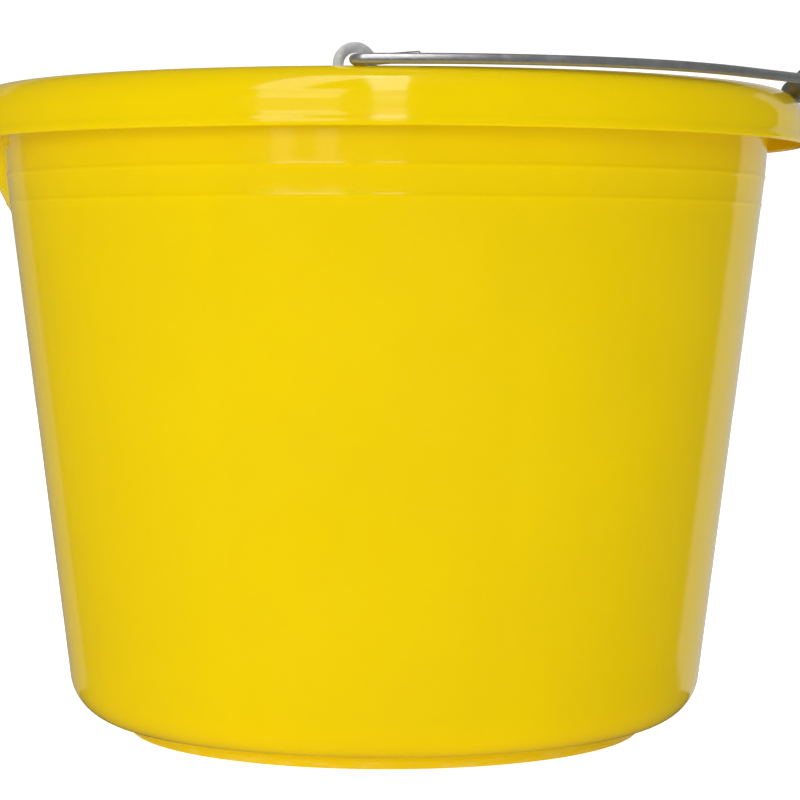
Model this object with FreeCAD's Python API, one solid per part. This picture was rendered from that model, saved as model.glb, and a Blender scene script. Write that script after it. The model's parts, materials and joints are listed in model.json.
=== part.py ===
import FreeCAD, Part
import math
import os

# Builder's bucket with a folded wire bail. Millimetres, +Z up.
# The origin is the centre of the foot ring's flat underside.
# The ears lie on the Y axis, the pouring lip is at -X, and the bail rests towards +X.

# ---- driving dimensions -------------------------------------------------------------

# moulded body
bucket_height = 265.0
wall_thickness = 2.6
wall_radius_low = 132.6          # outside of the wall where the low level is measured
wall_low_level = 30.0
wall_draft_deg = 7.05            # lean of the wall away from vertical
corner_radius = 20.0             # outside rounding between wall and base
foot_ring_inset = 4.9            # foot ring inside the flat part of the base
foot_ring_thickness = 3.0
foot_ring_height = 5.5
base_thickness = 3.0

# rim: a rounded roll with a skirt that hangs outside the wall
crest_inset = 0.7                # highest line of the rim, inside the wall's outer face
rim_round = 13.5                 # rounding from the crest down to the skirt
rim_flat = 0.05                  # level strip left between the rounding and the crest
skirt_depth = 22.0
skirt_thickness = 2.4

# reinforcing rings on the wall, each at its distance below the top of the rim
ring_drops = (35.1, 46.4)
ring_step = 0.5
ring_width = 1.8

# pouring lip, a cone that grows out of the wall
lip_depth = 65.0
lip_axis_inset = 12.0            # the cone's axis inside the crest
lip_top_radius = 35.0
lip_start_radius = 2.0
lip_tip_cut = 0.1                # the cone starts this far above its lowest point
lip_blend_radius = 27.5          # hollow corner where lip and rim meet, at the crest

# steel ears
ear_thickness = 2.0
ear_hole_play = 2.2              # hole radius beyond the wire's radius
ear_hole_border = 3.8            # steel round the hole
ear_body_width = 34.0
ear_body_height = 17.0
ear_body_drop = 23.0             # lower edge of the ear below the top of the rim
ear_corner_radius = 4.0

# rivets and washers
rivet_radius = 2.0
rivet_hole_clearance = 0.05
rivet_spacing = 22.0
rivet_head_radius = 3.8
rivet_head_height = 1.8
rivet_tail_radius = 3.2
rivet_tail_height = 1.6
washer_radius = 5.0
washer_thickness = 1.0
seat_clearance = 0.08            # flat heads and washers on the curved wall

# bail wire
wire_radius = 2.0
rim_gap = 0.3                    # wire above the rim's crest at rest
hook_bend_radius = 4.5           # to the wire's centre line
hook_clearance = 0.5             # between wire and ear
hook_tail_reach = 23.5
hook_tail_lift_deg = 4.0
shoulder_bend_radius = 12.0      # bend where the straight length for the grip begins
shoulder_beyond_grip = 4.0       # corner of that bend, past the end of the grip
grip_rise = 0.6                  # middle of the grip above the pivot line at rest

# grip
grip_length = 80.0
grip_wall = 2.5
grip_collar_step = 0.4
grip_collar_length = 6.0
grip_end_round = 1.2
grip_bore_clearance = 0.4
grip_rim_clearance = 0.95        # resting grip to the rounding of the rim

# helpers for cutting and picking
cut_margin = 1.0                 # a cutter runs this far past what it cuts
same_place = 1e-6                # two levels closer than this are one level

# ---- sizes that follow --------------------------------------------------------------

up = FreeCAD.Vector(0, 0, 1)
origin = FreeCAD.Vector(0, 0, 0)
draft = math.tan(math.radians(wall_draft_deg))
wall_across = wall_thickness / math.cos(math.radians(wall_draft_deg))
skirt_bottom = bucket_height - skirt_depth
ring_levels = [bucket_height - drop for drop in ring_drops]
pivot_level = bucket_height + rim_gap + wire_radius


def outer_radius(level):
    """Outside radius of the plain wall at a level."""
    return wall_radius_low + (level - wall_low_level) * draft


def inner_radius(level):
    """Inside radius of the plain wall at a level."""
    return outer_radius(level) - wall_across


crest_radius = outer_radius(bucket_height) - crest_inset
lip_axis_radius = crest_radius - lip_axis_inset
lip_start_level = bucket_height - lip_depth


def point(radius, level):
    return FreeCAD.Vector(radius, 0, level)


def revolve(edges):
    face = Part.Face(Part.Wire(edges))
    return face.revolve(origin, up, 360)


def turned_polygon(corners):
    face = Part.Face(Part.makePolygon(corners + corners[:1]))
    return face.revolve(origin, up, 360)


def corner_arc(radius, bottom, wall_at_zero):
    """Rounding between a flat level and a drafted wall: start, middle and end of the arc."""
    lean = math.radians(wall_draft_deg)
    centre_level = bottom + radius
    centre_radius = wall_at_zero + centre_level * draft - radius / math.cos(lean)
    middle_angle = math.radians(-90) + (math.radians(90) - lean) / 2
    return (
        point(centre_radius, bottom),
        point(
            centre_radius + radius * math.cos(middle_angle),
            centre_level + radius * math.sin(middle_angle),
        ),
        point(
            centre_radius + radius * math.cos(lean),
            centre_level - radius * math.sin(lean),
        ),
    )


def turned_body(bottom, radius, wall_at_zero, top):
    """Solid of revolution with a rounded foot and a drafted wall."""
    start, middle, end = corner_arc(radius, bottom, wall_at_zero)
    axis_low = point(0, bottom)
    axis_high = point(0, top)
    wall_high = point(wall_at_zero + top * draft, top)
    return revolve([
        Part.LineSegment(axis_low, start).toShape(),
        Part.Arc(start, middle, end).toShape(),
        Part.LineSegment(end, wall_high).toShape(),
        Part.LineSegment(wall_high, axis_high).toShape(),
        Part.LineSegment(axis_high, axis_low).toShape(),
    ])


def lip_cone(inset, top):
    """Cone of the pouring lip, made smaller by an inset and cut off at a level."""
    growth = (lip_top_radius - lip_start_radius) / (bucket_height - lip_start_level)
    lowest = lip_start_level + max(0.0, inset - lip_start_radius) / growth + lip_tip_cut
    radius_low = lip_start_radius + (lowest - lip_start_level) * growth - inset
    radius_high = lip_start_radius + (top - lip_start_level) * growth - inset
    place = FreeCAD.Vector(-lip_axis_radius, 0, lowest)
    return Part.makeCone(radius_low, radius_high, top - lowest, place, up)


def rim_outline(offset):
    """Plan outline of the rim: the round mouth and the lip, joined by hollow arcs."""
    mouth = crest_radius + offset
    lip = lip_top_radius + offset
    hollow = lip_blend_radius - offset
    lip_centre = FreeCAD.Vector(-lip_axis_radius, 0, 0)
    reach_mouth = mouth + hollow
    reach_lip = lip + hollow
    along = (reach_mouth ** 2 - reach_lip ** 2 + lip_axis_radius ** 2) / (2 * lip_axis_radius)
    aside = math.sqrt(reach_mouth ** 2 - along ** 2)
    edges = []
    hollow_centres = [FreeCAD.Vector(-along, side * aside, 0) for side in (1, -1)]
    on_mouth = [centre * (mouth / reach_mouth) for centre in hollow_centres]
    on_lip = [lip_centre + (centre - lip_centre) * (lip / reach_lip) for centre in hollow_centres]
    edges.append(Part.Arc(on_mouth[0], FreeCAD.Vector(mouth, 0, 0), on_mouth[1]).toShape())
    for index in (0, 1):
        towards = (on_mouth[index] + on_lip[index]) * 0.5 - hollow_centres[index]
        halfway = hollow_centres[index] + towards.normalize() * hollow
        edges.append(Part.Arc(on_mouth[index], halfway, on_lip[index]).toShape())
    lip_end = FreeCAD.Vector(-lip_axis_radius - lip, 0, 0)
    edges.append(Part.Arc(on_lip[0], lip_end, on_lip[1]).toShape())
    return Part.Face(Part.Wire(Part.__sortEdges__(edges)))


def rounded_slab(offset, bottom, top):
    """Rim outline pulled up between two levels, with its upper edge rounded to the crest."""
    face = rim_outline(offset)
    face.translate(FreeCAD.Vector(0, 0, bottom))
    slab = face.extrude(FreeCAD.Vector(0, 0, top - bottom))
    upper = [e for e in slab.Edges if abs(e.BoundBox.ZMin - top) < same_place]
    return slab.makeFillet(offset - rim_flat, upper)


def wall_ring(level):
    """Thin raised ring round the outside of the wall."""
    low = level - ring_width / 2
    high = level + ring_width / 2
    inside = outer_radius(low) - wall_thickness / 2
    return turned_polygon([
        point(inside, low),
        point(outer_radius(low), low),
        point(outer_radius(level) + ring_step, level),
        point(outer_radius(high), high),
        point(inside, high),
    ])


def make_bucket():
    at_zero = outer_radius(0)
    above = bucket_height + cut_margin
    inside_floor = foot_ring_height + base_thickness
    inside_corner = corner_radius - wall_thickness
    cavity = [
        turned_body(inside_floor, inside_corner, at_zero - wall_across, above),
        lip_cone(wall_thickness, above),
    ]

    wall = turned_body(foot_ring_height, corner_radius, at_zero, bucket_height)
    wall = wall.fuse(lip_cone(0, bucket_height))
    wall = wall.fuse([wall_ring(level) for level in ring_levels])
    wall = wall.cut(cavity)

    roll = rounded_slab(rim_round, skirt_bottom, bucket_height)
    hollow = rounded_slab(
        rim_round - skirt_thickness, skirt_bottom - cut_margin, bucket_height - skirt_thickness
    )
    shell = wall.fuse(roll.cut(hollow).cut(cavity))

    base_flat = corner_arc(corner_radius, foot_ring_height, at_zero)[0].x
    foot_ring_radius = base_flat - foot_ring_inset
    foot = Part.makeCylinder(foot_ring_radius, foot_ring_height + base_thickness / 2)
    bore = Part.makeCylinder(foot_ring_radius - foot_ring_thickness, foot_ring_height)
    shell = shell.fuse(foot.cut(bore))

    for turn in (0, 180):
        for side in (-1, 1):
            shell = shell.cut(on_wall(rivet_hole(), side, turn))
    return shell


# ---- ears and rivets ----------------------------------------------------------------

ear_body_bottom = bucket_height - ear_body_drop
ear_hole_radius = wire_radius + ear_hole_play
ear_hole_level = pivot_level - ear_hole_play + hook_clearance
ear_head_radius = ear_hole_radius + ear_hole_border
rivet_level = ear_body_bottom + ear_body_height / 2


def upright(radius, height, level):
    """Cylinder on the Z axis that starts at a level."""
    return Part.makeCylinder(radius, height, FreeCAD.Vector(0, 0, level), up)


def on_wall(shape, side, turn):
    """Place a shape made along +Z so that +Z is the wall's outward normal at a rivet.

    The shape's origin goes to the inner face of the wall."""
    radius = inner_radius(rivet_level)
    azimuth = math.degrees(math.asin(side * rivet_spacing / 2 / radius))
    placed = shape.copy()
    placed.rotate(origin, FreeCAD.Vector(0, 1, 0), 90 + wall_draft_deg)
    placed.translate(point(radius, rivet_level))
    placed.rotate(origin, up, -90 + azimuth + turn)
    return placed


def rivet_hole():
    """Cutter through ear and wall."""
    reach = ear_thickness + wall_thickness + cut_margin
    return upright(rivet_radius + rivet_hole_clearance, 2 * reach, -reach)


def make_rivet():
    """Domed head inside the bucket, shank through ear and wall, flat tail outside."""
    head_seat = -(ear_thickness + seat_clearance)
    head_top = head_seat - rivet_head_height
    tail_seat = wall_thickness + washer_thickness + 2 * seat_clearance
    shank = upright(rivet_radius, tail_seat - head_seat, head_seat)
    dome_radius = (rivet_head_radius ** 2 + rivet_head_height ** 2) / (2 * rivet_head_height)
    dome = Part.makeSphere(dome_radius, FreeCAD.Vector(0, 0, head_top + dome_radius))
    head = dome.common(upright(dome_radius, rivet_head_height, head_top))
    tail = upright(rivet_tail_radius, rivet_tail_height, tail_seat)
    tail_end = tail_seat + rivet_tail_height
    outer_edge = [e for e in tail.Edges if abs(e.BoundBox.ZMin - tail_end) < same_place]
    tail = tail.makeFillet(rivet_tail_height / 2, outer_edge)
    return shank.fuse([head, tail]).removeSplitter()


def make_washer():
    seat = wall_thickness + seat_clearance
    bore = upright(rivet_radius + rivet_hole_clearance, washer_thickness, seat)
    return upright(washer_radius, washer_thickness, seat).cut(bore)


def make_ear(turn):
    """Plate bent to the inside of the wall, with a round head that carries the bail."""
    low = ear_body_bottom - cut_margin
    high = ear_hole_level + ear_head_radius + cut_margin
    curved = turned_polygon([
        point(inner_radius(low) - ear_thickness, low),
        point(inner_radius(low), low),
        point(inner_radius(high), high),
        point(inner_radius(high) - ear_thickness, high),
    ])

    # outline of the ear seen from outside, pulled through the wall
    depth = inner_radius(high) + cut_margin
    outwards = FreeCAD.Vector(0, -1, 0)
    hole_centre = FreeCAD.Vector(0, 0, ear_hole_level)
    head = Part.makeCylinder(ear_head_radius, depth, hole_centre, outwards)
    hole = Part.makeCylinder(ear_hole_radius, depth, hole_centre, outwards)
    neck_corner = FreeCAD.Vector(-ear_head_radius, -depth, rivet_level)
    neck = Part.makeBox(2 * ear_head_radius, depth, ear_hole_level - rivet_level, neck_corner)
    body_corner = FreeCAD.Vector(-ear_body_width / 2, -depth, ear_body_bottom)
    body = Part.makeBox(ear_body_width, depth, ear_body_height, body_corner)
    through_edges = [e for e in body.Edges if e.BoundBox.YLength > depth / 2]
    body = body.makeFillet(ear_corner_radius, through_edges)

    ear = curved.common(body.fuse([neck, head]).cut(hole))
    for side in (-1, 1):
        ear = ear.cut(on_wall(rivet_hole(), side, 0))
    ear.rotate(origin, up, turn)
    return ear.removeSplitter()


def pair(make, turn):
    return Part.makeCompound([on_wall(make(), side, turn) for side in (-1, 1)])


# ---- bail ---------------------------------------------------------------------------

ear_middle = inner_radius(pivot_level) - ear_thickness / 2
through_half = ear_thickness / 2 + hook_clearance
shank_line = ear_middle + through_half + hook_bend_radius
tail_line = ear_middle - through_half - hook_bend_radius
grip_bore = wire_radius + grip_bore_clearance
grip_body_radius = grip_bore + grip_wall
grip_end_radius = grip_body_radius + grip_collar_step
grip_over_round = pivot_level + grip_rise - (bucket_height - rim_round)
grip_from_round = rim_round + grip_end_radius + grip_rim_clearance
bail_reach = crest_radius + math.sqrt(grip_from_round ** 2 - grip_over_round ** 2)
rest_angle_deg = math.degrees(math.asin(grip_rise / bail_reach))


def arc_edge(centre, radius, start_deg, end_deg, first, second):
    """Arc in the plane of two unit vectors, between two angles."""
    spots = []
    for angle in (start_deg, (start_deg + end_deg) / 2, end_deg):
        turn = math.radians(angle)
        across = first * (radius * math.cos(turn))
        aside = second * (radius * math.sin(turn))
        spots.append(centre + across + aside)
    return Part.Arc(*spots).toShape()


def half_bail():
    """Centre line of the -Y half of the bail, from the hook's tail to the middle of the grip.

    It lies in a level plane through the pivot line, apart from the lifted tail."""
    x_way = FreeCAD.Vector(1, 0, 0)
    y_way = FreeCAD.Vector(0, 1, 0)
    lift = math.radians(hook_tail_lift_deg)
    tail_way = FreeCAD.Vector(math.cos(lift), 0, math.sin(lift))
    bend = hook_bend_radius

    tail_bend = tail_way * bend + FreeCAD.Vector(0, -tail_line - bend, 0)
    tail_start = FreeCAD.Vector(0, -tail_line, 0) + tail_way * hook_tail_reach
    tail_end = FreeCAD.Vector(0, -tail_line, 0) + tail_way * bend
    inner_end = FreeCAD.Vector(0, -tail_line - bend, 0)
    outer_start = FreeCAD.Vector(0, -shank_line + bend, 0)

    # the round sweep leaves along the tangent that meets the grip line at the shoulder
    sweep_centre = FreeCAD.Vector(bend, 0, 0)
    corner_across = bail_reach - sweep_centre.x
    corner_along = grip_length / 2 + shoulder_beyond_grip
    corner_distance = math.hypot(corner_across, corner_along)
    shoulder = math.atan2(corner_along, corner_across) + math.acos(shank_line / corner_distance)
    sweep_end = sweep_centre + FreeCAD.Vector(
        shank_line * math.cos(shoulder), -shank_line * math.sin(shoulder), 0
    )
    run = (bail_reach - sweep_end.x) / math.sin(shoulder)
    corner = sweep_end + FreeCAD.Vector(math.sin(shoulder), math.cos(shoulder), 0) * run
    setback = shoulder_bend_radius * math.tan(shoulder / 2)
    run_end = corner - FreeCAD.Vector(math.sin(shoulder), math.cos(shoulder), 0) * setback
    grip_start = corner + y_way * setback
    bend_centre = grip_start - x_way * shoulder_bend_radius

    edges = [
        Part.LineSegment(tail_start, tail_end).toShape(),
        arc_edge(tail_bend, bend, 90, 180, tail_way, y_way),
        Part.LineSegment(inner_end, outer_start).toShape(),
        arc_edge(FreeCAD.Vector(bend, -shank_line + bend, 0), bend, 180, 270, x_way, y_way),
        arc_edge(sweep_centre, shank_line, -90, -math.degrees(shoulder), x_way, y_way),
        Part.LineSegment(sweep_end, run_end).toShape(),
        arc_edge(bend_centre, shoulder_bend_radius, -math.degrees(shoulder), 0, x_way, y_way),
    ]
    return edges, tail_start, tail_way, grip_start


def at_rest(shape):
    """Lift a shape made in the level bail plane to the pivot line, at its rest angle."""
    shape.rotate(origin, FreeCAD.Vector(0, 1, 0), -rest_angle_deg)
    shape.translate(FreeCAD.Vector(0, 0, pivot_level))
    return shape


def make_bail():
    edges, tail_start, tail_way, grip_start = half_bail()
    other = [e.mirror(origin, FreeCAD.Vector(0, 1, 0)) for e in edges]
    mirrored_start = FreeCAD.Vector(grip_start.x, -grip_start.y, grip_start.z)
    middle = Part.LineSegment(grip_start, mirrored_start).toShape()
    path = Part.Wire(Part.__sortEdges__(edges + [middle] + other))
    profile = Part.Wire(Part.makeCircle(wire_radius, tail_start, tail_way))
    make_solid = True
    return at_rest(path.makePipeShell([profile], make_solid))


def make_grip():
    """Tube on the straight middle of the bail, with a collar at each end."""
    half = grip_length / 2
    collar = half - grip_collar_length
    slope_end = collar - grip_end_round
    corners = [
        FreeCAD.Vector(grip_bore, -half, 0),
        FreeCAD.Vector(grip_end_radius, -half, 0),
        FreeCAD.Vector(grip_end_radius, -collar, 0),
        FreeCAD.Vector(grip_body_radius, -slope_end, 0),
        FreeCAD.Vector(grip_body_radius, slope_end, 0),
        FreeCAD.Vector(grip_end_radius, collar, 0),
        FreeCAD.Vector(grip_end_radius, half, 0),
        FreeCAD.Vector(grip_bore, half, 0),
    ]
    along = FreeCAD.Vector(0, 1, 0)
    tube = Part.Face(Part.makePolygon(corners + corners[:1])).revolve(origin, along, 360)
    ends = [
        e for e in tube.Edges
        if abs(abs(e.BoundBox.YMin) - half) < same_place
        and e.BoundBox.YLength < same_place
        and e.BoundBox.XLength > grip_bore + grip_end_radius
    ]
    tube = tube.makeFillet(grip_end_round, ends)
    tube.translate(FreeCAD.Vector(bail_reach, 0, 0))
    return at_rest(tube)


parts = {
    "bucket_shell": make_bucket(),
    "bail_wire": make_bail(),
    "bail_grip": make_grip(),
}
for place, turn in (("front", 0), ("rear", 180)):
    parts["ear_plate_" + place] = make_ear(turn)
    parts["ear_rivets_" + place] = pair(make_rivet, turn)
    parts["rivet_washers_" + place] = pair(make_washer, turn)

os.makedirs("parts", exist_ok=True)
for node, shape in parts.items():
    shape.exportStep("parts/" + node + ".step")
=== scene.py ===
import json
import math

import bmesh
import bpy
from mathutils import Matrix, Vector


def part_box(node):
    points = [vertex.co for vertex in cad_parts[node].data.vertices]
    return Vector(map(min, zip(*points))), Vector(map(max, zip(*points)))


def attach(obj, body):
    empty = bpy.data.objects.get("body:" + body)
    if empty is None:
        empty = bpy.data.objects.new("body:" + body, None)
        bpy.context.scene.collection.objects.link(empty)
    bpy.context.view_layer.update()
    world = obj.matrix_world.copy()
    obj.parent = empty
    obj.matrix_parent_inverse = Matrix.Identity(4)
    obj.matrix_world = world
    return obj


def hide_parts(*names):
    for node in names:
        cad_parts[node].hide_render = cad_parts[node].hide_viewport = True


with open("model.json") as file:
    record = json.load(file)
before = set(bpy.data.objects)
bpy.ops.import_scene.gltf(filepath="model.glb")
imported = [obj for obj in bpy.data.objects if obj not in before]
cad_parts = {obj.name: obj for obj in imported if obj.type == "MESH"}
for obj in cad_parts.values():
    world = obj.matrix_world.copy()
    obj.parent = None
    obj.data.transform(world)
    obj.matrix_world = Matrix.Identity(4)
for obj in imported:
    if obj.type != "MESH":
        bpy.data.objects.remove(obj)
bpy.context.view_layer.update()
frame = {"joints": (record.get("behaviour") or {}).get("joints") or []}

# A yellow builder's bucket with a folded galvanised bail. Metres, +Z up.
# The ears lie on the Y axis, the pouring lip is at -X, and the bail rests towards +X.

# ---- sizes of the moulded body --------------------------------------------------------

shell_low, shell_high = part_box("bucket_shell")
HEIGHT = shell_high.z
SKIRT_REACH = shell_high.x          # outside of the skirt, from the axis
LIP_REACH = -shell_low.x            # outside of the pouring lip, from the axis

WALL = 0.0026
WALL_DRAFT = math.radians(7.05)
WALL_LOW_LEVEL = 0.030
WALL_LOW_RADIUS = 0.1326
COLLAR_DRAFT = math.radians(4.4)    # the wall stands straighter above the upper ring
CORNER = 0.020                      # outside rounding between wall and base
FLOOR = 0.0030
FOOT_HEIGHT = 0.0055
FOOT_INSET = 0.0049
FOOT_WALL = 0.0030
FOOT_EDGE = 0.0007
GATE_RADIUS = 0.0035                # stub of the moulding gate under the base
GATE_DEPTH = 0.0012

RIM_ROUND = 0.0135
SKIRT = 0.0024
SKIRT_DEPTH = 0.022
SKIRT_HOLLOW = 0.0009               # how far the skirt's side draws in above its bead
BEAD_HEIGHT = 0.0036
MOUTH_EDGE = 0.0009
CREST_RADIUS = SKIRT_REACH - RIM_ROUND

RING_DROPS = (0.0351, 0.0464)
RING_STEP = 0.00028
RING_HALF = 0.0014

LIP_DEPTH = 0.065
LIP_AXIS = CREST_RADIUS - 0.012
LIP_TOP_RADIUS = LIP_REACH - RIM_ROUND - LIP_AXIS
LIP_START_RADIUS = 0.002
LIP_WALL_HOLLOW = 0.012             # hollow corners between lip and wall
LIP_RIM_HOLLOW = 0.0275             # hollow corners between lip and rim, at the crest

RIM_STARTS = 0.0008                 # what stands further out than this belongs to the rim
CREST_ZONE = HEIGHT - 0.0028        # so does the crest above this level

TURN_STEPS = 288
LEVEL_STEP = 0.004                  # between levels where the lip grows out of the wall
LOW_WALL_LEVELS = (0.060, 0.100, 0.140, 0.175)
COLLAR_LEVELS = (0.2325, 0.2345, 0.2370, 0.2395, 0.2420, 0.2440)
BEHIND_SKIRT_LEVELS = (0.2475, 0.2510, 0.2545, 0.2580)
HIGH_INSIDE_LEVELS = (0.2600, 0.2560, 0.2520, 0.2480)
RING_SECTION = ((-1, 0), (-0.6, 0.35), (-0.25, 0.9), (0, 1), (0.25, 0.9), (0.6, 0.35), (1, 0))
SKIRT_SECTION = ((0.50, 0.04), (0.75, 0.30), (1.00, 0.75), (1.35, 0.98), (1.70, 1.00))

DRAFT = math.tan(WALL_DRAFT)
WALL_ACROSS = WALL / math.cos(WALL_DRAFT)
SKIRT_BOTTOM = HEIGHT - SKIRT_DEPTH
LIP_START = HEIGHT - LIP_DEPTH


def wall_radius(level):
    """Outside radius of the drafted wall."""
    return WALL_LOW_RADIUS + (level - WALL_LOW_LEVEL) * DRAFT


# ---- hand tools -----------------------------------------------------------------------

SAME_PLACE = 0.000005               # points closer than this are one point


def put_down():
    """Leave edit mode with nothing selected."""
    if bpy.context.mode != "OBJECT":
        bpy.ops.object.mode_set(mode="OBJECT")
    bpy.ops.object.select_all(action="DESELECT")


def pick_up(piece):
    """Select one piece alone and make it active."""
    put_down()
    piece.select_set(True)
    bpy.context.view_layer.objects.active = piece


def edit(piece):
    pick_up(piece)
    bpy.ops.object.mode_set(mode="EDIT")


def added(name):
    """Name the primitive that was just added, and start shaping it."""
    piece = bpy.context.object
    piece.name = name
    piece.data.name = name
    edit(piece)
    return piece


def select_faces(piece, wanted):
    """Select the faces that a test picks, in edit mode."""
    bpy.ops.mesh.select_mode(type="FACE")
    bpy.ops.mesh.select_all(action="DESELECT")
    sheet = bmesh.from_edit_mesh(piece.data)
    for face in sheet.faces:
        face.select_set(wanted(face))
    sheet.select_flush_mode()
    bmesh.update_edit_mesh(piece.data)


def select_edges(piece, wanted):
    """Select the edges that a test picks, in edit mode."""
    bpy.ops.mesh.select_mode(type="EDGE")
    bpy.ops.mesh.select_all(action="DESELECT")
    sheet = bmesh.from_edit_mesh(piece.data)
    for edge in sheet.edges:
        edge.select_set(wanted(edge))
    sheet.select_flush_mode()
    bmesh.update_edit_mesh(piece.data)


def clean():
    """Close seams and poles of the piece in hand and turn every face outwards."""
    bpy.ops.mesh.select_all(action="SELECT")
    bpy.ops.mesh.remove_doubles(threshold=SAME_PLACE)
    bpy.ops.mesh.normals_make_consistent(inside=False)
    put_down()


def smooth(piece, degrees=35):
    pick_up(piece)
    bpy.ops.object.shade_smooth_by_angle(angle=math.radians(degrees))
    put_down()


def apply_modifiers(piece):
    pick_up(piece)
    for modifier in list(piece.modifiers):
        bpy.ops.object.modifier_apply(modifier=modifier.name)
    put_down()


def settle(piece, place):
    """Move a piece's mesh to its place and leave the object at the origin."""
    piece.data.transform(piece.matrix_basis)
    piece.matrix_basis = Matrix.Identity(4)
    piece.data.transform(place)
    piece.data.update()


def copy_of(piece, name, place):
    twin = bpy.data.objects.new(name, piece.data.copy())
    bpy.context.scene.collection.objects.link(twin)
    twin.data.name = name
    settle(twin, place)
    return twin


def join(name, pieces):
    pick_up(pieces[0])
    for piece in pieces[1:]:
        piece.select_set(True)
    bpy.ops.object.join()
    whole = bpy.context.object
    whole.name = name
    whole.data.name = name
    put_down()
    return whole


def arc(radius, level, size, start, end, steps):
    """Points of a round corner: centre, size, and angles in degrees from outwards to up."""
    spots = []
    for step in range(steps + 1):
        angle = math.radians(start + (end - start) * step / steps)
        spots.append((radius + size * math.cos(angle), level + size * math.sin(angle)))
    return spots


def turned(name, outline, steps):
    """Draw an outline of (radius, level) points from one vertex and spin it round the Z axis."""
    first_radius, first_level = outline[0]
    bpy.ops.mesh.primitive_plane_add(size=0.001, location=(first_radius, 0, first_level))
    piece = added(name)
    bpy.ops.mesh.select_mode(type="VERT")
    bpy.ops.mesh.select_all(action="SELECT")
    bpy.ops.mesh.merge(type="CENTER")
    for (radius, level), (radius_next, level_next) in zip(outline, outline[1:]):
        step = (radius_next - radius, 0, level_next - level)
        bpy.ops.mesh.extrude_vertices_move(TRANSFORM_OT_translate={"value": step})
    bpy.ops.mesh.select_all(action="SELECT")
    start = piece.location.copy()
    piece.location = (0, 0, 0)
    bpy.ops.transform.translate(value=start)
    bpy.ops.mesh.spin(steps=steps, angle=math.tau, center=(0, 0, 0), axis=(0, 0, 1))
    clean()
    return piece


# ---- bucket ---------------------------------------------------------------------------

def body_outline():
    """Section of the bucket, from the middle of the underside round to the inside floor."""
    lean = math.degrees(WALL_DRAFT)
    corner_level = FOOT_HEIGHT + CORNER
    corner_radius = wall_radius(corner_level) - CORNER / math.cos(WALL_DRAFT)
    foot_out = corner_radius - FOOT_INSET
    foot_in = foot_out - FOOT_WALL
    underside = [
        (0, FOOT_HEIGHT - GATE_DEPTH),
        (GATE_RADIUS, FOOT_HEIGHT - GATE_DEPTH),
        (GATE_RADIUS * 1.15, FOOT_HEIGHT),
        (foot_in * 0.5, FOOT_HEIGHT),
    ]
    foot = (
        arc(foot_in - FOOT_EDGE, FOOT_HEIGHT - FOOT_EDGE, FOOT_EDGE, 90, 0, 3)
        + arc(foot_in + FOOT_EDGE, FOOT_EDGE, FOOT_EDGE, 180, 270, 4)
        + arc(foot_out - FOOT_EDGE, FOOT_EDGE, FOOT_EDGE, 270, 360, 4)
        + arc(foot_out + FOOT_EDGE, FOOT_HEIGHT - FOOT_EDGE, FOOT_EDGE, 180, 90, 3)
    )
    corner = arc(corner_radius, corner_level, CORNER, -90, -lean, 14)

    ring_levels = sorted(HEIGHT - drop for drop in RING_DROPS)
    plain_levels = list(LOW_WALL_LEVELS)
    level = LIP_START - LEVEL_STEP
    while level < ring_levels[0] - 2 * RING_HALF:
        plain_levels.append(level)
        level += LEVEL_STEP
    wall = [(wall_radius(level), level) for level in plain_levels]
    for middle in ring_levels:
        for share, rise in RING_SECTION:
            level = middle + share * RING_HALF
            wall.append((wall_radius(level) + rise * RING_STEP, level))
        if middle == ring_levels[0]:
            for share in (0.4, 0.6):
                level = middle + share * (ring_levels[1] - middle)
                wall.append((wall_radius(level), level))
    collar_foot = ring_levels[-1] + RING_HALF
    for level in COLLAR_LEVELS:
        grown = (level - collar_foot) * math.tan(COLLAR_DRAFT)
        wall.append((wall_radius(collar_foot) + grown, level))
    for level in BEHIND_SKIRT_LEVELS:
        wall.append((wall_radius(level), level))

    # under the rim: up to the roll, and down the inside of the skirt
    hollow = RIM_ROUND - SKIRT
    hollow_level = HEIGHT - RIM_ROUND
    under_rim = arc(CREST_RADIUS, hollow_level, hollow, 78, 0, 12)
    skirt_inside = [
        (CREST_RADIUS + hollow, SKIRT_BOTTOM + 0.004),
        (CREST_RADIUS + hollow, SKIRT_BOTTOM + 0.0008),
    ]
    bead = SKIRT / 2
    skirt_edge = arc(SKIRT_REACH - bead, SKIRT_BOTTOM + bead, bead, 200, 360, 10)
    skirt_side = []
    for rise, inset in SKIRT_SECTION:
        skirt_side.append((SKIRT_REACH - inset * SKIRT_HOLLOW, SKIRT_BOTTOM + rise * BEAD_HEIGHT))
    roll_size = RIM_ROUND - SKIRT_HOLLOW
    roll = arc(CREST_RADIUS, HEIGHT - roll_size, roll_size, 0, 90, 20)
    inner_top = wall_radius(HEIGHT) - WALL_ACROSS
    mouth = arc(inner_top + MOUTH_EDGE, HEIGHT - MOUTH_EDGE, MOUTH_EDGE, 90, 173, 5)

    inside_levels = list(HIGH_INSIDE_LEVELS)
    while inside_levels[-1] > LIP_START:
        inside_levels.append(inside_levels[-1] - LEVEL_STEP)
    inside_levels += reversed(LOW_WALL_LEVELS)
    inside = [(wall_radius(level) - WALL_ACROSS, level) for level in inside_levels]
    inner_corner = CORNER - WALL
    floor_level = FOOT_HEIGHT + FLOOR
    inner_level = floor_level + inner_corner
    inner_radius = wall_radius(inner_level) - WALL_ACROSS - inner_corner / math.cos(WALL_DRAFT)
    inside_corner = arc(inner_radius, inner_level, inner_corner, -lean, -90, 12)
    inside_floor = [(inner_radius * 0.5, floor_level), (GATE_RADIUS, floor_level), (0, floor_level)]
    return (
        underside + foot + corner + wall + under_rim + skirt_inside + skirt_edge + skirt_side
        + roll + mouth + inside + inside_corner + inside_floor
    )


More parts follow.
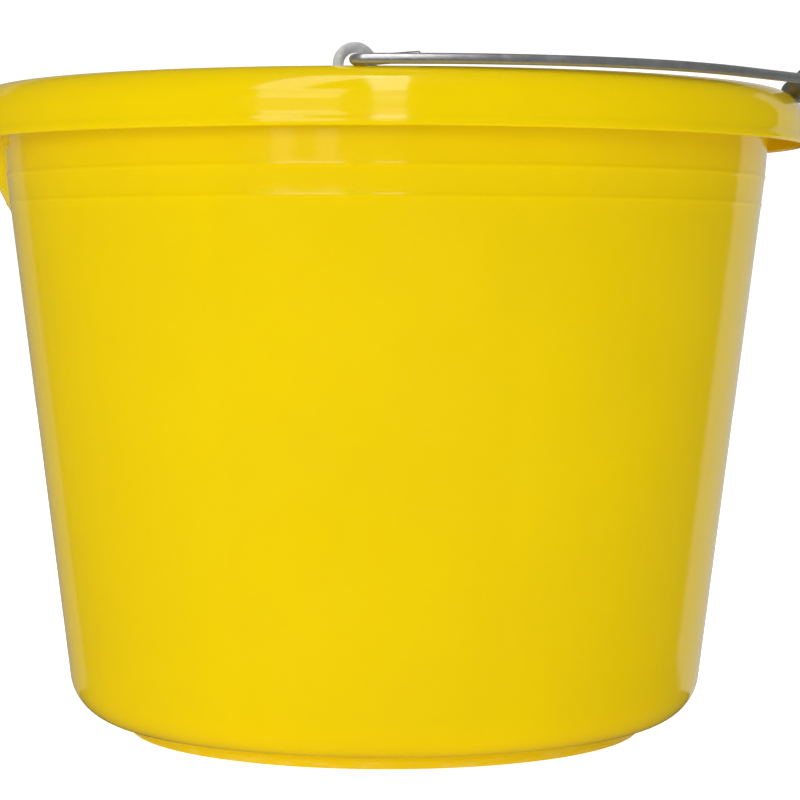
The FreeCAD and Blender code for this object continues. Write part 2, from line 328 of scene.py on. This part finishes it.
def outline_reach(angle, mouth, lip, hollow):
    """Distance from the axis to the plan outline, at an angle from the lip's middle.

    The outline is the round mouth and the round lip, joined by hollow arcs."""
    if LIP_AXIS + lip <= mouth:
        return mouth
    to_mouth = mouth + hollow
    to_lip = lip + hollow
    along = (to_mouth ** 2 - to_lip ** 2 + LIP_AXIS ** 2) / (2 * LIP_AXIS)
    aside = math.sqrt(max(0.0, to_mouth ** 2 - along ** 2))
    mouth_end = math.atan2(aside, along)
    lip_end = math.atan2(aside * lip / to_lip, LIP_AXIS + (along - LIP_AXIS) * lip / to_lip)
    if angle >= mouth_end:
        return mouth
    across = LIP_AXIS * math.sin(angle)
    if angle <= lip_end and across < lip:
        return LIP_AXIS * math.cos(angle) + math.sqrt(lip ** 2 - across ** 2)
    ahead = along * math.cos(angle) + aside * math.sin(angle)
    beside = along * math.sin(angle) - aside * math.cos(angle)
    return ahead - math.sqrt(max(0.0, hollow ** 2 - beside ** 2))


def pull_out_lip(shell):
    """Draw the wall and the rim out to the pouring lip at -X."""
    growth = (LIP_TOP_RADIUS - LIP_START_RADIUS) / LIP_DEPTH
    for vertex in shell.data.vertices:
        x, y, level = vertex.co
        radius = math.hypot(x, y)
        if level < LIP_START or radius < WALL_LOW_RADIUS:
            continue
        angle = abs(math.atan2(y, -x))
        from_wall = radius - wall_radius(level)
        on_crest = level > CREST_ZONE and radius > CREST_RADIUS - 0.0001
        in_rim = from_wall > RIM_STARTS or on_crest
        if in_rim:
            offset = radius - CREST_RADIUS
            reach = outline_reach(
                angle, radius, LIP_TOP_RADIUS + offset, LIP_RIM_HOLLOW - offset
            )
        else:
            lip = LIP_START_RADIUS + (level - LIP_START) * growth + from_wall
            if lip <= 0:
                continue
            reach = outline_reach(angle, radius, lip, LIP_WALL_HOLLOW - from_wall)
        vertex.co.x *= reach / radius
        vertex.co.y *= reach / radius
    shell.data.update()


def make_shell():
    shell = turned("bucket_body", body_outline(), TURN_STEPS)
    pull_out_lip(shell)
    smooth(shell, 50)
    return shell


# ---- ears, rivets and washers ---------------------------------------------------------

ear_low, ear_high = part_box("ear_plate_front")
EAR_THICKNESS = 0.0020
EAR_BODY_HEIGHT = 0.017
EAR_CORNER = 0.004
EAR_HOLE = 0.0042
EAR_BORDER = 0.0038
EAR_EDGE = 0.00032                  # rounding that the press leaves round the ear
EAR_TURN_STEPS = 181                # odd, so that no edge runs down the ear's middle
EAR_HEAD = EAR_HOLE + EAR_BORDER
EAR_HOLE_LEVEL = ear_high.z - EAR_HEAD
RIVET_LEVEL = ear_low.z + EAR_BODY_HEIGHT / 2
RIVET_SPACING = 0.022
RIVET_RADIUS = 0.0020
RIVET_HEAD_RADIUS = 0.0038
RIVET_HEAD_HEIGHT = 0.0018
RIVET_TAIL_RADIUS = 0.0032
RIVET_TAIL_HEIGHT = 0.0016
RIVET_TAIL_EDGE = 0.0008
SEAT = 0.00008                      # flat heads and washers on the curved wall
WASHER_RADIUS = 0.0050
WASHER_THICKNESS = 0.0010
WASHER_EDGE = 0.00018
WASHER_PLAY = 0.00005


def inner_wall(level):
    return wall_radius(level) - WALL_ACROSS


def block(name, low, high):
    """Cube stretched between two corners."""
    low = Vector(low)
    high = Vector(high)
    bpy.ops.mesh.primitive_cube_add(size=1, location=(low + high) / 2, scale=high - low)
    piece = added(name)
    put_down()
    pick_up(piece)
    bpy.ops.object.transform_apply(location=True, rotation=True, scale=True)
    put_down()
    return piece


def rod(name, radius, level, reach, sides=64):
    """Cylinder that runs from the axis towards -Y at a level."""
    bpy.ops.mesh.primitive_cylinder_add(
        vertices=sides, radius=radius, depth=reach, location=(0, -reach / 2, level),
        rotation=(math.pi / 2, 0, 0),
    )
    piece = added(name)
    put_down()
    pick_up(piece)
    bpy.ops.object.transform_apply(location=True, rotation=True, scale=True)
    put_down()
    return piece


def combine(piece, tool, how):
    """Unite, cut or keep what two pieces share, and throw the tool away."""
    modifier = piece.modifiers.new(how, "BOOLEAN")
    modifier.operation = how
    modifier.object = tool
    modifier.solver = "EXACT"
    apply_modifiers(piece)
    bpy.data.objects.remove(tool)


def on_wall(side, turn=0):
    """Where a rivet stands: +Z is the wall's outward normal, and zero is its inner face."""
    radius = inner_wall(RIVET_LEVEL)
    azimuth = math.asin(side * RIVET_SPACING / 2 / radius) - math.pi / 2 + turn
    tilt = Matrix.Rotation(math.pi / 2 + WALL_DRAFT, 4, "Y")
    return Matrix.Rotation(azimuth, 4, "Z") @ Matrix.Translation((radius, 0, RIVET_LEVEL)) @ tilt


def make_ear():
    """Pressed plate that follows the inside of the wall, with a round head for the bail."""
    low = ear_low.z - 0.001
    high = ear_high.z + 0.001
    reach = inner_wall(high) + 0.002
    half_width = ear_high.x
    outline = [
        (inner_wall(low) - EAR_THICKNESS, low),
        (inner_wall(low), low),
        (inner_wall(high), high),
        (inner_wall(high) - EAR_THICKNESS, high),
    ]
    ear = turned("ear_front", outline + outline[:1], EAR_TURN_STEPS)
    edit(ear)
    select_faces(ear, lambda face: face.calc_center_median().y > -0.1)
    bpy.ops.mesh.delete(type="FACE")
    bpy.ops.mesh.select_all(action="SELECT")
    bpy.ops.mesh.fill_holes(sides=0)
    clean()

    body_high = (half_width, 0, ear_low.z + EAR_BODY_HEIGHT)
    body = block("ear_outline", (-half_width, -reach, ear_low.z), body_high)
    edit(body)
    select_edges(body, lambda edge: abs(edge.verts[0].co.y - edge.verts[1].co.y) > reach / 2)
    bpy.ops.mesh.bevel(offset=EAR_CORNER, segments=8, affect="EDGES")
    put_down()
    neck_low = (-EAR_HEAD, -reach, RIVET_LEVEL)
    combine(body, block("ear_neck", neck_low, (EAR_HEAD, 0, EAR_HOLE_LEVEL)), "UNION")
    combine(body, rod("ear_head", EAR_HEAD, EAR_HOLE_LEVEL, reach), "UNION")
    combine(ear, body, "INTERSECT")
    combine(ear, rod("ear_hole", EAR_HOLE, EAR_HOLE_LEVEL, reach * 1.1), "DIFFERENCE")

    rounding = ear.modifiers.new("press_edge", "BEVEL")
    rounding.width = EAR_EDGE
    rounding.segments = 3
    rounding.limit_method = "ANGLE"
    rounding.angle_limit = math.radians(40)
    apply_modifiers(ear)
    edit(ear)
    clean()
    smooth(ear, 30)
    return ear


def make_rivet():
    """Solid rivet, set cold: dome inside the bucket, upset tail outside."""
    head_seat = -(EAR_THICKNESS + SEAT)
    tail_seat = WALL + WASHER_THICKNESS + 2 * SEAT
    dome = (RIVET_HEAD_RADIUS ** 2 + RIVET_HEAD_HEIGHT ** 2) / (2 * RIVET_HEAD_HEIGHT)
    dome_level = head_seat - RIVET_HEAD_HEIGHT + dome
    rim_angle = math.degrees(math.asin((head_seat - 0.0002 - dome_level) / dome))
    edge = RIVET_TAIL_EDGE
    dished = tail_seat + 0.93 * RIVET_TAIL_HEIGHT
    middle = tail_seat + 0.90 * RIVET_TAIL_HEIGHT
    outline = (
        arc(0, dome_level, dome, -90, rim_angle, 10)
        + [(RIVET_HEAD_RADIUS, head_seat), (RIVET_RADIUS, head_seat), (RIVET_RADIUS, tail_seat)]
        + [(RIVET_TAIL_RADIUS * 0.97, tail_seat)]
        + arc(RIVET_TAIL_RADIUS - edge, tail_seat + edge, edge, 0, 90, 6)
        + [(RIVET_TAIL_RADIUS * 0.4, dished), (0, middle)]
    )
    rivet = turned("rivet", outline, 40)
    smooth(rivet, 40)
    return rivet


def make_washer():
    edge = WASHER_EDGE
    bore = RIVET_RADIUS + WASHER_PLAY
    low = WALL + SEAT
    high = low + WASHER_THICKNESS
    outline = (
        arc(bore + edge, low + edge, edge, 180, 270, 3)
        + arc(WASHER_RADIUS - edge, low + edge, edge, -90, 0, 3)
        + arc(WASHER_RADIUS - edge, high - edge, edge, 0, 90, 3)
        + arc(bore + edge, high - edge, edge, 90, 180, 3)
    )
    washer = turned("washer", outline + outline[:1], 48)
    smooth(washer, 40)
    return washer


# ---- bail and grip --------------------------------------------------------------------

joints = {joint["name"]: joint for joint in frame["joints"]}
PIVOT_LEVEL = joints["bail_swing"]["pos_m"][2]
WIRE = 0.0020
WIRE_SIDES = 24
CUT_CHAMFER = 0.0004                # edge that the cutter leaves on the wire's ends
CUT_SHARE = 0.82
HOOK_BEND = 0.0045
HOOK_PLAY = 0.0005
TAIL_REACH = 0.0235
TAIL_LIFT = math.radians(4)
SHOULDER_BEND = 0.012
BEYOND_GRIP = 0.004

grip_low, grip_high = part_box("bail_grip")
GRIP_CENTRE = (grip_low + grip_high) / 2
GRIP_LENGTH = grip_high.y - grip_low.y
GRIP_END_RADIUS = (grip_high.x - grip_low.x) / 2
GRIP_COLLAR_STEP = 0.0004
GRIP_COLLAR = 0.006
GRIP_BORE = 0.0024
GRIP_EDGE = 0.0012
GRIP_LEAD_IN = 0.0005
GRIP_SEAM = 0.00012                 # height of the seam
BAIL_REACH = math.hypot(GRIP_CENTRE.x, GRIP_CENTRE.z - PIVOT_LEVEL)
REST_TILT = math.atan2(GRIP_CENTRE.z - PIVOT_LEVEL, GRIP_CENTRE.x)
EAR_MIDDLE = inner_wall(PIVOT_LEVEL) - EAR_THICKNESS / 2
SHANK_LINE = EAR_MIDDLE + EAR_THICKNESS / 2 + HOOK_PLAY + HOOK_BEND
TAIL_LINE = EAR_MIDDLE - EAR_THICKNESS / 2 - HOOK_PLAY - HOOK_BEND


def run_on(step):
    """Draw the wire on in a straight line."""
    bpy.ops.mesh.extrude_region_move(TRANSFORM_OT_translate={"value": step})


def bend_on(centre, axis, degrees, steps):
    """Bend the wire round a centre."""
    bpy.ops.mesh.spin(steps=steps, angle=-math.radians(degrees), center=centre, axis=axis)


def make_bail():
    """One wire bent flat: hook, round sweep, shoulder, grip length, and the same again."""
    up = Vector((0, 0, 1))
    tail_way = Vector((math.cos(TAIL_LIFT), 0, math.sin(TAIL_LIFT)))
    tail_axis = tail_way.cross(Vector((0, 1, 0)))
    tail_bend = tail_way * HOOK_BEND + Vector((0, -TAIL_LINE - HOOK_BEND, 0))
    tail_start = Vector((0, -TAIL_LINE, 0)) + tail_way * TAIL_REACH
    hook_bend = Vector((HOOK_BEND, -SHANK_LINE + HOOK_BEND, 0))
    sweep_centre = Vector((HOOK_BEND, 0, 0))
    corner_across = BAIL_REACH - sweep_centre.x
    corner_along = GRIP_LENGTH / 2 + BEYOND_GRIP
    shoulder = math.atan2(corner_along, corner_across) + math.acos(
        SHANK_LINE / math.hypot(corner_across, corner_along)
    )
    slope = Vector((math.sin(shoulder), math.cos(shoulder), 0))
    sweep_end = sweep_centre + SHANK_LINE * Vector((math.cos(shoulder), -math.sin(shoulder), 0))
    setback = SHOULDER_BEND * math.tan(shoulder / 2)
    run_length = (BAIL_REACH - sweep_end.x) / math.sin(shoulder) - setback
    grip_start = Vector((BAIL_REACH, -corner_along + setback, 0))
    bend_centre = grip_start - Vector((SHOULDER_BEND, 0, 0))
    across_ear = Vector((0, (TAIL_LINE + HOOK_BEND) - (SHANK_LINE - HOOK_BEND), 0))
    sweep_degrees = 90 - math.degrees(shoulder)

    bpy.ops.mesh.primitive_circle_add(
        vertices=WIRE_SIDES, radius=WIRE * CUT_SHARE, fill_type="NGON",
        location=tail_start, rotation=tail_way.to_track_quat("Z", "Y").to_euler(),
    )
    wire = added("bail_wire_bent")
    put_down()
    pick_up(wire)
    bpy.ops.object.transform_apply(location=True, rotation=True, scale=True)
    edit(wire)
    bpy.ops.mesh.select_all(action="SELECT")
    run_on(-tail_way * CUT_CHAMFER)
    bpy.ops.transform.resize(value=[1 / CUT_SHARE] * 3)
    run_on(-tail_way * (TAIL_REACH - HOOK_BEND - CUT_CHAMFER))
    bend_on(tail_bend, tail_axis, 90, 10)
    run_on(across_ear)
    bend_on(hook_bend, up, 90, 10)
    bend_on(sweep_centre, up, sweep_degrees, 40)
    run_on(slope * run_length)
    bend_on(bend_centre, up, math.degrees(shoulder), 8)
    run_on(Vector((0, -2 * grip_start.y, 0)))
    bend_on(Vector((bend_centre.x, -bend_centre.y, 0)), up, math.degrees(shoulder), 8)
    run_on(Vector((-slope.x, slope.y, 0)) * run_length)
    bend_on(sweep_centre, up, sweep_degrees, 40)
    bend_on(Vector((hook_bend.x, -hook_bend.y, 0)), up, 90, 10)
    run_on(across_ear)
    bend_on(Vector((tail_bend.x, -tail_bend.y, tail_bend.z)), tail_axis, 90, 10)
    run_on(tail_way * (TAIL_REACH - HOOK_BEND - CUT_CHAMFER))
    run_on(tail_way * CUT_CHAMFER)
    bpy.ops.transform.resize(value=[CUT_SHARE] * 3)
    clean()
    settle(wire, Matrix.Translation((0, 0, PIVOT_LEVEL)) @ Matrix.Rotation(-REST_TILT, 4, "Y"))
    smooth(wire, 40)
    return wire


def make_grip():
    """Moulded tube with a collar at each end and a faint seam along both sides."""
    half = GRIP_LENGTH / 2
    body = GRIP_END_RADIUS - GRIP_COLLAR_STEP
    collar = half - GRIP_COLLAR
    lead_in = GRIP_LEAD_IN
    outline = (
        [(GRIP_BORE, -half + lead_in), (GRIP_BORE + lead_in, -half)]
        + arc(GRIP_END_RADIUS - GRIP_EDGE, -half + GRIP_EDGE, GRIP_EDGE, -90, 0, 8)
        + [(GRIP_END_RADIUS, -collar - 0.0004), (GRIP_END_RADIUS - 0.00008, -collar)]
        + [(body + 0.00006, -collar + 0.0009), (body, -collar + 0.0013)]
    )
    for share in (-0.75, -0.5, -0.25, 0.0):
        outline.append((body, share * collar))
    outline += [(radius, -level) for radius, level in reversed(outline[:-1])]
    grip = turned("grip_tube", outline + outline[:1], 72)
    for vertex in grip.data.vertices:
        x, y, level = vertex.co
        radius = math.hypot(x, y)
        if abs(level) < collar - 0.0005 and radius > body - 0.0001 and abs(y) < 0.0002:
            vertex.co.x *= (radius + GRIP_SEAM) / radius
    place = Matrix.Translation(GRIP_CENTRE) @ Matrix.Rotation(-math.pi / 2, 4, "X")
    settle(grip, place)
    smooth(grip, 35)
    return grip


# ---- finishes -------------------------------------------------------------------------

class Finish:
    """A material on object coordinates, with short names for the nodes it is made of."""

    def __init__(self, name, metallic=0.0, specular=0.5):
        self.material = bpy.data.materials.new(name)
        self.material.use_nodes = True
        self.tree = self.material.node_tree
        self.shader = self.tree.nodes["Principled BSDF"]
        self.shader.inputs["Metallic"].default_value = metallic
        self.shader.inputs["Specular IOR Level"].default_value = specular
        self.place = self.tree.nodes.new("ShaderNodeTexCoord").outputs["Object"]
        self.normal = None

    def node(self, kind, **inputs):
        made = self.tree.nodes.new(kind)
        for name, value in inputs.items():
            self.feed(made.inputs[name.replace("_", " ")], value)
        return made

    def feed(self, socket, value):
        if isinstance(value, bpy.types.NodeSocket):
            self.tree.links.new(value, socket)
        else:
            socket.default_value = value

    def stretched(self, scale):
        return self.node("ShaderNodeMapping", Vector=self.place, Scale=scale).outputs["Vector"]

    def noise(self, scale, detail=4.0, rough=0.55, stretch=None):
        where = self.place if stretch is None else self.stretched(stretch)
        made = self.node(
            "ShaderNodeTexNoise", Vector=where, Scale=scale, Detail=detail, Roughness=rough
        )
        return made.outputs["Fac"]

    def cells(self, scale, output="Color"):
        return self.node("ShaderNodeTexVoronoi", Vector=self.place, Scale=scale).outputs[output]

    def spread(self, source, low, high, to_low, to_high):
        """Stretch a value from one range to another."""
        made = self.tree.nodes.new("ShaderNodeMapRange")
        for socket, value in zip(made.inputs, (source, low, high, to_low, to_high)):
            self.feed(socket, value)
        return made.outputs["Result"]

    def sum(self, first, second, operation="ADD"):
        made = self.tree.nodes.new("ShaderNodeMath")
        made.operation = operation
        self.feed(made.inputs[0], first)
        self.feed(made.inputs[1], second)
        return made.outputs["Value"]

    def height_axis(self):
        return self.node("ShaderNodeSeparateXYZ", Vector=self.place).outputs["Z"]

    def blend(self, share, first, second):
        made = self.tree.nodes.new("ShaderNodeMix")
        made.data_type = "RGBA"
        self.feed(made.inputs["Factor"], share)
        self.feed(made.inputs[6], first)
        self.feed(made.inputs[7], second)
        return made.outputs[2]

    def relief(self, height, distance, strength=1.0):
        """Add a bump over the ones already there."""
        made = self.node("ShaderNodeBump", Height=height, Distance=distance, Strength=strength)
        if self.normal is not None:
            self.tree.links.new(self.normal, made.inputs["Normal"])
        self.normal = made.outputs["Normal"]

    def finish(self, colour, roughness):
        self.feed(self.shader.inputs["Base Color"], colour)
        self.feed(self.shader.inputs["Roughness"], roughness)
        self.tree.links.new(self.normal, self.shader.inputs["Normal"])
        return self.material


def srgb(red, green, blue):
    """Colour from its screen values, 0 to 255."""
    parts = []
    for value in (red, green, blue):
        share = value / 255
        parts.append(share / 12.92 if share <= 0.04045 else ((share + 0.055) / 1.055) ** 2.4)
    return (*parts, 1.0)


def yellow_plastic():
    """Glossy moulded plastic: slow waves, fine orange peel, turned tool marks, scuffed foot."""
    look = Finish("yellow_polypropylene", specular=0.27)
    level = look.height_axis()
    clouds = look.noise(14, detail=3)
    specks = look.noise(900, detail=2)
    colour = look.blend(
        look.spread(clouds, 0.35, 0.65, 0.0, 1.0), srgb(242, 208, 0), srgb(239, 205, 0)
    )
    scuffs = look.noise(60, detail=8, rough=0.7, stretch=(1, 1, 6))
    near_foot = look.spread(level, 0.0, 0.004, 1.0, 0.0)
    worn = look.sum(look.spread(scuffs, 0.5, 0.7, 0.0, 1.0), near_foot, "MULTIPLY")
    colour = look.blend(worn, colour, srgb(246, 226, 120))
    colour = look.blend(look.spread(specks, 0.74, 0.80, 0.0, 0.10), colour, srgb(210, 175, 10))
    scratches = look.noise(45, detail=10, rough=0.75, stretch=(1, 1, 14))
    roughness = look.sum(
        look.spread(look.noise(30, detail=5), 0.3, 0.7, 0.07, 0.12),
        look.spread(scratches, 0.56, 0.72, 0.0, 0.08),
    )
    roughness = look.sum(roughness, look.sum(near_foot, 0.25, "MULTIPLY"))
    look.relief(look.noise(9, detail=2), 0.00015)
    look.relief(look.noise(260, detail=2), 0.000012)
    look.relief(look.noise(8, detail=2, stretch=(0.2, 0.2, 160)), 0.000012)
    return look.finish(colour, roughness)


def galvanised(name, metallic, grey, spangle, drawn):
    """Zinc coat on steel: crystal spangle, soft bloom, and drawing or rolling lines."""
    look = Finish(name, metallic=metallic)
    crystals = look.cells(spangle)
    tone = look.node("ShaderNodeSeparateColor", Color=crystals).outputs[0]
    bloom = look.noise(120, detail=6, rough=0.65)
    light = srgb(grey + 5, grey + 5, grey + 5)
    dark = srgb(grey - 5, grey - 4, grey - 2)
    colour = look.blend(look.spread(tone, 0.0, 1.0, 0.0, 1.0), dark, light)
    colour = look.blend(look.spread(bloom, 0.52, 0.72, 0.0, 0.55), colour, srgb(196, 198, 198))
    roughness = look.sum(
        look.spread(tone, 0.0, 1.0, 0.30, 0.36), look.spread(bloom, 0.5, 0.75, 0.0, 0.22)
    )
    look.relief(look.noise(30, detail=5, stretch=drawn), 0.000020)
    look.relief(look.noise(1400, detail=3), 0.000003)
    return look.finish(colour, roughness)


def rivet_steel():
    """Zinc-plated rivet: bright, with hammer facets and a dull dusty film."""
    look = Finish("zinc_plated_rivet", metallic=1.0)
    film = look.noise(420, detail=6, rough=0.7)
    bare = srgb(200, 200, 204)
    dusty = srgb(150, 146, 138)
    colour = look.blend(look.spread(film, 0.4, 0.7, 0.0, 1.0), bare, dusty)
    roughness = look.spread(film, 0.35, 0.7, 0.22, 0.46)
    look.relief(look.cells(900, "Distance"), 0.00006)
    look.relief(look.noise(2600, detail=2), 0.00001)
    return look.finish(colour, roughness)


def grip_plastic():
    """Dark grey tube: fine spark-eroded grain, polished where the hand rubs."""
    look = Finish("grip_dark_grey", specular=0.45)
    rubbed = look.noise(70, detail=5, rough=0.6)
    dark = srgb(74, 74, 78)
    worn = srgb(92, 92, 95)
    colour = look.blend(look.spread(rubbed, 0.35, 0.7, 0.0, 1.0), dark, worn)
    dust = look.noise(1500, detail=3)
    colour = look.blend(look.spread(dust, 0.66, 0.76, 0.0, 0.35), colour, srgb(150, 148, 142))
    roughness = look.spread(rubbed, 0.3, 0.7, 0.34, 0.52)
    look.relief(look.noise(2200, detail=2), 0.00005)
    look.relief(look.noise(160, detail=3), 0.00005)
    return look.finish(colour, roughness)


def coat_with(piece, material):
    piece.data.materials.clear()
    piece.data.materials.append(material)


# ---- build it -------------------------------------------------------------------------

put_down()
yellow = yellow_plastic()
zinc_wire = galvanised("galvanised_wire", 0.75, 184, 500, (1, 1, 1))
zinc_plate = galvanised("galvanised_plate", 0.6, 190, 420, (1, 1, 12))
rivet_zinc = rivet_steel()
dark_grey = grip_plastic()

shell = make_shell()
coat_with(shell, yellow)
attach(shell, "bucket")
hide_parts("bucket_shell")

ear = make_ear()
rivet = make_rivet()
washer = make_washer()
half_turn = Matrix.Rotation(math.pi, 4, "Z")
ears = {"front": ear, "rear": copy_of(ear, "ear_rear", half_turn)}
for place, turn in (("front", 0.0), ("rear", math.pi)):
    coat_with(ears[place], zinc_plate)
    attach(ears[place], "bucket")
    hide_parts("ear_plate_" + place)

    rivets = [copy_of(rivet, "rivet", on_wall(side, turn)) for side in (-1, 1)]
    rivets = join("rivets_" + place, rivets)
    coat_with(rivets, rivet_zinc)
    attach(rivets, "bucket")
    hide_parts("ear_rivets_" + place)

    washers = [copy_of(washer, "washer", on_wall(side, turn)) for side in (-1, 1)]
    washers = join("washers_" + place, washers)
    coat_with(washers, rivet_zinc)
    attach(washers, "bucket")
    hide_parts("rivet_washers_" + place)
for pattern in (rivet, washer):
    bpy.data.objects.remove(pattern)

bail = make_bail()
coat_with(bail, zinc_wire)
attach(bail, "bail")
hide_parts("bail_wire")

grip = make_grip()
coat_with(grip, dark_grey)
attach(grip, "grip")
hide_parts("bail_grip")


# ---- studio ---------------------------------------------------------------------------

def studio_floor():
    """Pale floor that glows to the eye, glows less on the bucket, and isn't mirrored in it."""
    bpy.ops.mesh.primitive_plane_add(size=14, location=(0, 0, -0.0002))
    floor = bpy.context.object
    floor.name = "floor"
    look = Finish("pale_floor", specular=0.0)
    look.relief(look.noise(300, detail=2), 0.00001)
    path = look.node("ShaderNodeLightPath")
    seen = path.outputs["Is Camera Ray"]
    look.shader.inputs["Emission Color"].default_value = (1, 1, 1, 1)
    bounced = path.outputs["Is Diffuse Ray"]
    glow = look.sum(look.sum(seen, 0.95, "MULTIPLY"), look.sum(bounced, 0.45, "MULTIPLY"))
    look.feed(look.shader.inputs["Emission Strength"], glow)
    floor.visible_glossy = False
    floor.data.materials.append(look.finish((0.72, 0.72, 0.72, 1), 0.9))


def backdrop():
    """White wall well behind the bucket, not mirrored in it."""
    upright = (math.pi / 2, 0, 0)
    bpy.ops.mesh.primitive_plane_add(size=1, location=(-0.2, 2.6, 1.3), rotation=upright)
    wall = bpy.context.object
    wall.name = "backdrop"
    wall.scale = (5.6, 2.6, 1)
    wall.visible_glossy = False
    look = Finish("white_backdrop", specular=0.0)
    look.relief(look.noise(300, detail=2), 0.00001)
    look.shader.inputs["Emission Color"].default_value = (1, 1, 1, 1)
    look.shader.inputs["Emission Strength"].default_value = 1.05
    wall.data.materials.append(look.finish((0.10, 0.10, 0.10, 1), 0.9))


def softbox(name, azimuth, elevation, distance, width, height, radiance, job, aim=(0, 0, 0.2)):
    """Area light seen from the bucket at an azimuth from -Y towards +X, and an elevation.

    Its job is to light surfaces ("light") or to be mirrored in them ("gloss")."""
    light = bpy.data.lights.new(name, "AREA")
    light.shape = "RECTANGLE"
    light.size = width
    light.size_y = height
    light.energy = radiance * math.pi * width * height
    lamp = bpy.data.objects.new(name, light)
    bpy.context.scene.collection.objects.link(lamp)
    turn = math.radians(azimuth)
    rise = math.radians(elevation)
    level = math.cos(rise)
    way = Vector((math.sin(turn) * level, -math.cos(turn) * level, math.sin(rise)))
    lamp.location = Vector(aim) + way * distance
    lamp.rotation_euler = way.to_track_quat("Z", "Y").to_euler()
    lamp.visible_camera = False
    lamp.visible_glossy = job == "gloss"
    lamp.visible_diffuse = job == "light"


def studio_world():
    """White to the eye, a soft grey room that lights the bucket, and a dim one to mirror in it."""
    world = bpy.data.worlds.new("studio")
    bpy.context.scene.world = world
    world.use_nodes = True
    tree = world.node_tree
    seen = tree.nodes["Background"]
    seen.inputs["Color"].default_value = (1, 1, 1, 1)
    seen.inputs["Strength"].default_value = 1.0
    room = tree.nodes.new("ShaderNodeBackground")
    room.inputs["Color"].default_value = (0.96, 0.98, 1.0, 1)
    path = tree.nodes.new("ShaderNodeLightPath")
    dim = tree.nodes.new("ShaderNodeMapRange")
    dim.inputs["To Min"].default_value = 0.38
    dim.inputs["To Max"].default_value = 0.07
    tree.links.new(path.outputs["Is Glossy Ray"], dim.inputs["Value"])
    tree.links.new(dim.outputs["Result"], room.inputs["Strength"])
    mix = tree.nodes.new("ShaderNodeMixShader")
    tree.links.new(path.outputs["Is Camera Ray"], mix.inputs["Fac"])
    tree.links.new(room.outputs["Background"], mix.inputs[1])
    tree.links.new(seen.outputs["Background"], mix.inputs[2])
    tree.links.new(mix.outputs["Shader"], tree.nodes["World Output"].inputs["Surface"])


def camera():
    """Standing in front at rim height, a little above the rim, turned to show the grip's end."""
    data = bpy.data.cameras.new("camera")
    data.sensor_width = 36
    data.lens = 122.76
    data.clip_end = 50
    eye = bpy.data.objects.new("camera", data)
    bpy.context.scene.collection.objects.link(eye)
    heading = Matrix.Rotation(math.radians(3.79), 4, "Z")
    pitch = Matrix.Rotation(math.radians(90 - 2.75), 4, "X")
    roll = Matrix.Rotation(0.0030, 4, "Z")
    eye.matrix_world = Matrix.Translation((0.0819, -1.1431, 0.1920)) @ heading @ pitch @ roll
    bpy.context.scene.camera = eye


studio_floor()
backdrop()
studio_world()
softbox("front_fill", -13, 2, 2.2, 1.8, 1.0, 4.0, "light")
softbox("top_fill", 0, 80, 2.0, 1.6, 1.6, 1.9, "light")
softbox("high_box_left", -26, 57, 1.6, 0.36, 1.40, 3.8, "gloss")
softbox("low_box_left", -17.5, 22, 1.6, 0.57, 0.70, 3.2, "gloss")
softbox("dim_box_left", -17.5, 6, 1.6, 0.57, 0.46, 0.8, "gloss")
softbox("high_box_centre", 5.0, 56, 1.6, 0.22, 1.50, 6.0, "gloss")
softbox("low_box_centre", 5.0, 19, 1.6, 0.22, 0.75, 2.6, "gloss")
softbox("stand_left", -23, -5, 0.9, 0.085, 0.07, 1.1, "gloss", aim=(0, 0, 0.235))
softbox("stand_right", -11, -5, 0.9, 0.085, 0.07, 1.1, "gloss", aim=(0, 0, 0.235))
softbox("pale_side_right", 150, 4, 1.6, 1.2, 1.4, 0.5, "gloss")
softbox("pale_side_left", -150, 4, 1.6, 1.2, 1.4, 0.22, "gloss")
camera()
bpy.context.scene.view_settings.view_transform = "Standard"
